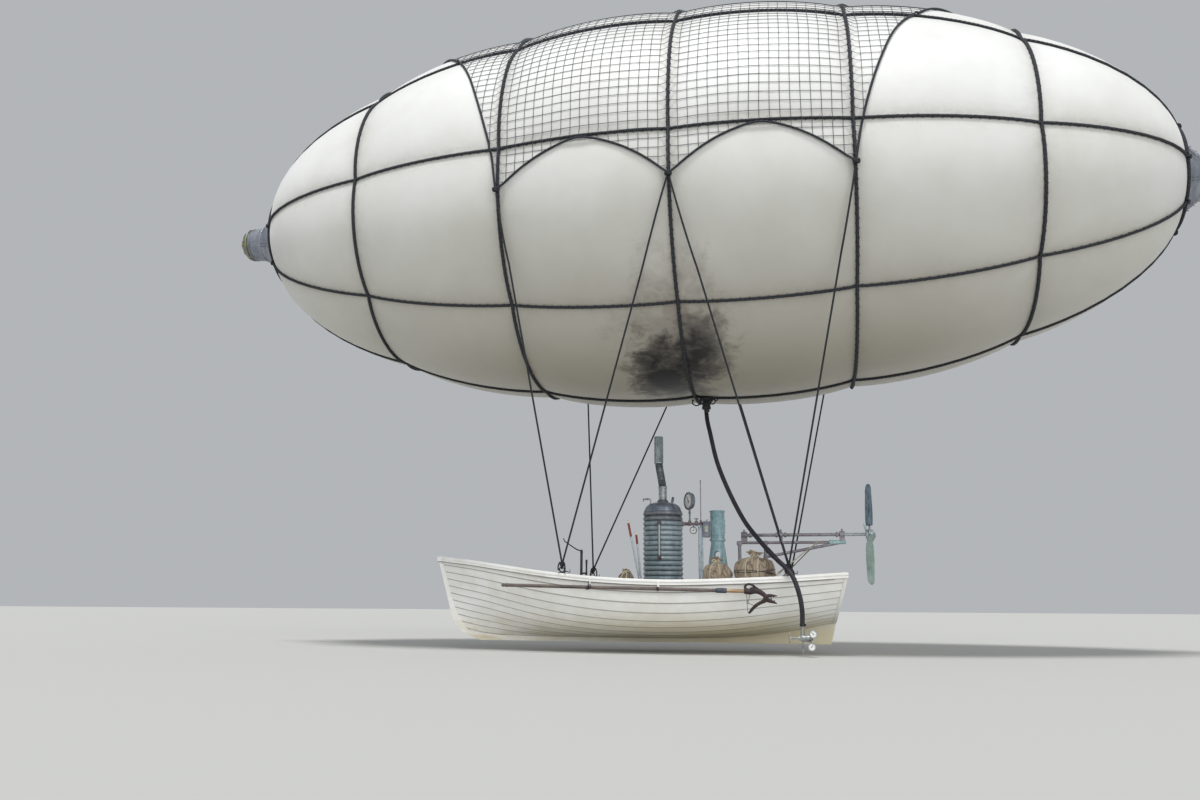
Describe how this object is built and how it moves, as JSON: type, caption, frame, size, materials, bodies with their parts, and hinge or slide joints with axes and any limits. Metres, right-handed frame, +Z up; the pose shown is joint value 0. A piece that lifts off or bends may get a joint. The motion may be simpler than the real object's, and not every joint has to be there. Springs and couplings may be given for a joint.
{
  "type": "hot air balloon airship with boat gondola",
  "caption": "Quilted airship-shaped hot air balloon with metal end caps, carrying a clinker rowing boat with boiler, engine and rear propeller.",
  "frame": {"origin": "the centre of the envelope, on its long axis, where the craft hangs in the air", "axes": "+X aft towards the propeller, +Z up, -Y to port"},
  "size_m": [10.692, 4.1576, 6.6191],
  "materials": {
    "envelope_fabric": "off-white coated cloth, slightly glossy, with soot on the belly",
    "rope": "black laid rope",
    "zinc": "dull grey sheet",
    "brass": "tarnished",
    "white_paint": "white boat paint, worn",
    "timber": "oiled boards",
    "dark_wood": "old dark wood",
    "iron": "dark and rusty",
    "boiler_plate": "grey green patina",
    "rusty_pipe": "rough rust",
    "steel": "dull steel",
    "verdigris": "verdigris",
    "burlap": "coarse sacking",
    "hose_rubber": "black hose"
  },
  "bodies": {
    "craft": {"belly_fitting": "iron", "bench_port": "timber", "bench_starboard": "timber", "boathook_pole": "dark_wood", "boiler": "boiler_plate", "boom_frame": "rusty_pipe", "breasthook": "timber", "bridle_aft_port": "rope", "bridle_aft_starboard": "rope", "bridle_fore_port": "rope", "bridle_fore_starboard": "rope", "chimney": "boiler_plate", "davit": "iron", "engine_bed": "timber", "engine_column": "verdigris", "engine_cylinder": "verdigris", "envelope": "envelope_fabric", "floorboards": "timber", "gas_hose": "hose_rubber", "grapple": "iron", "gunwale_port": "white_paint", "gunwale_starboard": "white_paint", "guy_port": "steel", "guy_starboard": "steel", "hook_aft_port": "iron", "hook_aft_starboard": "iron", "hook_fore_port": "iron", "hook_fore_starboard": "iron", "hull_planking": "white_paint", "keel": "white_paint", "lubricator": "zinc", "nose_dome": "brass", "nose_fairing": "zinc", "pole_aft": "steel", "pole_bracket_aft": "iron", "pole_bracket_fore": "iron", "pole_fore": "steel", "pressure_gauge": "steel", "regulator": "steel", "sack_aft": "burlap", "sack_fore": "burlap", "sack_small": "burlap", "seam_ropes": "rope", "sight_glass": "rusty_pipe", "steam_pipe": "rusty_pipe", "tail_dome": "brass", "tail_fairing": "zinc", "test_gauge": "steel", "thwart_aft": "timber", "thwart_fore": "timber", "thwart_mid": "timber", "transom": "white_paint"},
    "propeller": {"blade_1": "verdigris", "blade_2": "verdigris", "blade_3": "verdigris", "blade_4": "verdigris", "propeller_shaft": "steel"}
  },
  "joints": [
    {"name": "propeller_spin", "type": "hinge", "parent": "craft", "child": "propeller", "pos_m": [1.687, 0, -3.455], "axis": [1, 0, 0], "continuous": true}
  ]
}
